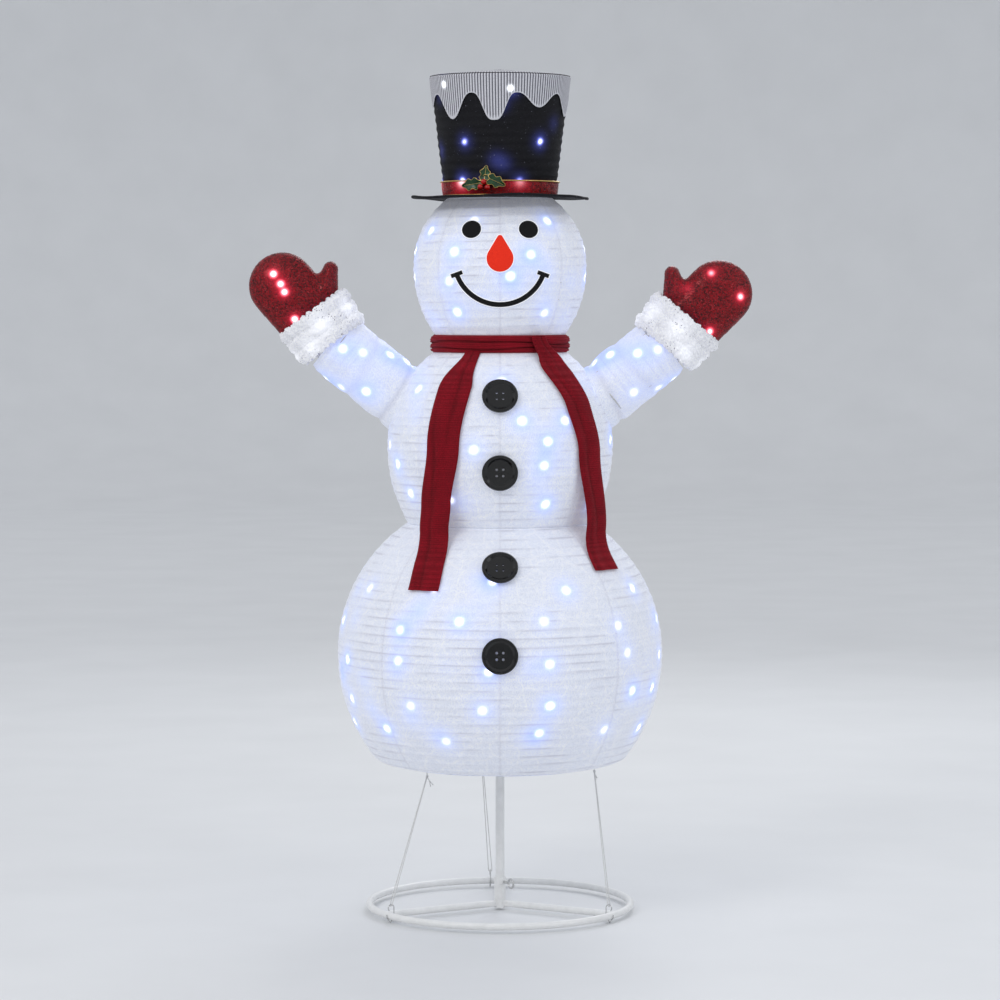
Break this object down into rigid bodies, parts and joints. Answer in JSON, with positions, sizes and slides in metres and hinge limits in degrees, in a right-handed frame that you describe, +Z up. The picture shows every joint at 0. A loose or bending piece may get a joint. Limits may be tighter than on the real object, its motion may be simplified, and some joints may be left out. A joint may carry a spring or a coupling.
{
  "type": "light-up snowman",
  "caption": "Light-up fabric snowman on a telescoping pole and ring stand, with stacked round covers over coil springs, a top hat, scarf, buttons and raised mitten arms.",
  "frame": {"origin": "on the floor under the pole's axis", "axes": "+Z up along the pole; the face looks along -Y; +X is to the right for a person who faces the figure"},
  "size_m": [0.9054, 0.598, 1.5176],
  "materials": {
    "white_coated_steel": "satin",
    "plated_wire": "bright",
    "white_elastic": "matt",
    "grey_plastic": "matt",
    "white_fabric": "glittery weave",
    "black_fabric": "tinsel weave",
    "snow_mesh": "knitted mesh",
    "red_glitter": "glitter",
    "holly_green": "gloss",
    "berry_red": "gloss",
    "led_white": "clear",
    "black_felt": "matt",
    "red_felt": "matt",
    "black_button": "gloss",
    "red_knit": "ribbed knit",
    "white_fur": "short pile"
  },
  "bodies": {
    "stand": {"ground_ring": "white_coated_steel", "spoke_left": "white_coated_steel", "spoke_right": "white_coated_steel", "spoke_back": "white_coated_steel", "pole_socket": "white_coated_steel", "ring_hook_left": "plated_wire", "ring_hook_right": "plated_wire", "ring_hook_back": "plated_wire", "elastic_left": "white_elastic", "elastic_right": "white_elastic", "elastic_back": "white_elastic"},
    "thumb_screw": {"thumb_screw": "plated_wire"},
    "pole": {"lower_pole": "white_coated_steel", "lower_collar": "grey_plastic", "bottom_hoop": "plated_wire", "bottom_panel": "white_fabric", "lower_coil": "plated_wire", "lower_cover": "white_fabric", "lower_lights": "led_white"},
    "waist": {"waist_hoop": "plated_wire", "middle_cover": "white_fabric", "middle_coil": "plated_wire", "middle_lights": "led_white"},
    "shoulder": {"shoulder_hoop": "plated_wire"},
    "neck": {"neck_hoop": "plated_wire", "head_cover": "white_fabric", "head_coil": "plated_wire", "head_lights": "led_white", "eyes": "black_felt", "nose": "red_felt", "mouth": "black_felt", "scarf_wrap": "red_knit", "scarf_tail_left": "red_knit", "scarf_tail_right": "red_knit"},
    "brim": {"brim_hoop": "plated_wire", "hat_brim": "black_fabric", "hat_cover": "black_fabric", "hat_coil": "plated_wire", "hat_band": "red_glitter", "holly_leaves": "holly_green", "holly_berries": "berry_red", "hat_lights": "led_white"},
    "middle_pole": {"middle_pole": "white_coated_steel", "upper_collar": "grey_plastic"},
    "top": {"upper_pole": "white_coated_steel", "pole_cap": "grey_plastic", "hat_top_hoop": "plated_wire", "hat_snow": "snow_mesh"},
    "button_1": {"button_1": "black_button"},
    "button_2": {"button_2": "black_button"},
    "button_3": {"button_3": "black_button"},
    "button_4": {"button_4": "black_button"},
    "arm_left": {"arm_left_frame": "plated_wire", "arm_left_sleeve": "white_fabric", "arm_left_cuff": "white_fur", "arm_left_mitten": "red_glitter"},
    "arm_right": {"arm_right_frame": "plated_wire", "arm_right_sleeve": "white_fabric", "arm_right_cuff": "white_fur", "arm_right_mitten": "red_glitter"}
  },
  "joints": [
    {"name": "screw_turn", "type": "hinge", "parent": "stand", "child": "thumb_screw", "pos_m": [0, 0, 0.05235], "axis": [0.5446, -0.8387, 0], "range_deg": [0, 720]},
    {"name": "pole_lift", "type": "slide", "parent": "stand", "child": "pole", "axis": [0, 0, 1], "range_m": [0, 0.045], "deforming": ["elastic_left", "elastic_right", "elastic_back"]},
    {"name": "figure_collapse", "type": "slide", "parent": "pole", "child": "top", "axis": [0, 0, -1], "range_m": [0, 0.617], "deforming": ["lower_cover", "lower_coil", "lower_lights", "middle_cover", "middle_coil", "middle_lights", "head_cover", "head_coil", "head_lights", "eyes", "nose", "mouth", "scarf_tail_left", "scarf_tail_right", "hat_cover", "hat_coil", "hat_lights", "hat_snow"]},
    {"name": "waist_drop", "type": "slide", "parent": "pole", "child": "waist", "axis": [0, 0, -1], "range_m": [0, 0.2175]},
    {"name": "shoulder_drop", "type": "slide", "parent": "pole", "child": "shoulder", "axis": [0, 0, -1], "range_m": [0, 0.328]},
    {"name": "neck_drop", "type": "slide", "parent": "pole", "child": "neck", "axis": [0, 0, -1], "range_m": [0, 0.377]},
    {"name": "brim_drop", "type": "slide", "parent": "pole", "child": "brim", "axis": [0, 0, -1], "range_m": [0, 0.509]},
    {"name": "middle_pole_drop", "type": "slide", "parent": "pole", "child": "middle_pole", "axis": [0, 0, -1], "range_m": [0, 0.3085]},
    {"name": "button_1_drop", "type": "slide", "parent": "pole", "child": "button_1", "axis": [0, 0, -1], "range_m": [0, 0.333]},
    {"name": "button_2_drop", "type": "slide", "parent": "pole", "child": "button_2", "axis": [0, 0, -1], "range_m": [0, 0.2675]},
    {"name": "button_3_drop", "type": "slide", "parent": "pole", "child": "button_3", "axis": [0, 0, -1], "range_m": [0, 0.1845]},
    {"name": "button_4_drop", "type": "slide", "parent": "pole", "child": "button_4", "axis": [0, 0, -1], "range_m": [0, 0.1115]},
    {"name": "arm_left_swing", "type": "hinge", "parent": "shoulder", "child": "arm_left", "pos_m": [-0.17213, 0, 0.926], "axis": [0, 1, 0], "range_deg": [-60, 12]},
    {"name": "arm_right_swing", "type": "hinge", "parent": "shoulder", "child": "arm_right", "pos_m": [0.17213, 0, 0.926], "axis": [0, -1, 0], "range_deg": [-60, 12]}
  ],
  "couplings": [
    {"joint": "waist_drop", "follows": "figure_collapse", "ratio": 0.35251},
    {"joint": "shoulder_drop", "follows": "figure_collapse", "ratio": 0.5316},
    {"joint": "neck_drop", "follows": "figure_collapse", "ratio": 0.61102},
    {"joint": "brim_drop", "follows": "figure_collapse", "ratio": 0.82496},
    {"joint": "middle_pole_drop", "follows": "figure_collapse", "ratio": 0.5},
    {"joint": "button_1_drop", "follows": "figure_collapse", "ratio": 0.53971},
    {"joint": "button_2_drop", "follows": "figure_collapse", "ratio": 0.43355},
    {"joint": "button_3_drop", "follows": "figure_collapse", "ratio": 0.29903},
    {"joint": "button_4_drop", "follows": "figure_collapse", "ratio": 0.18071}
  ]
}
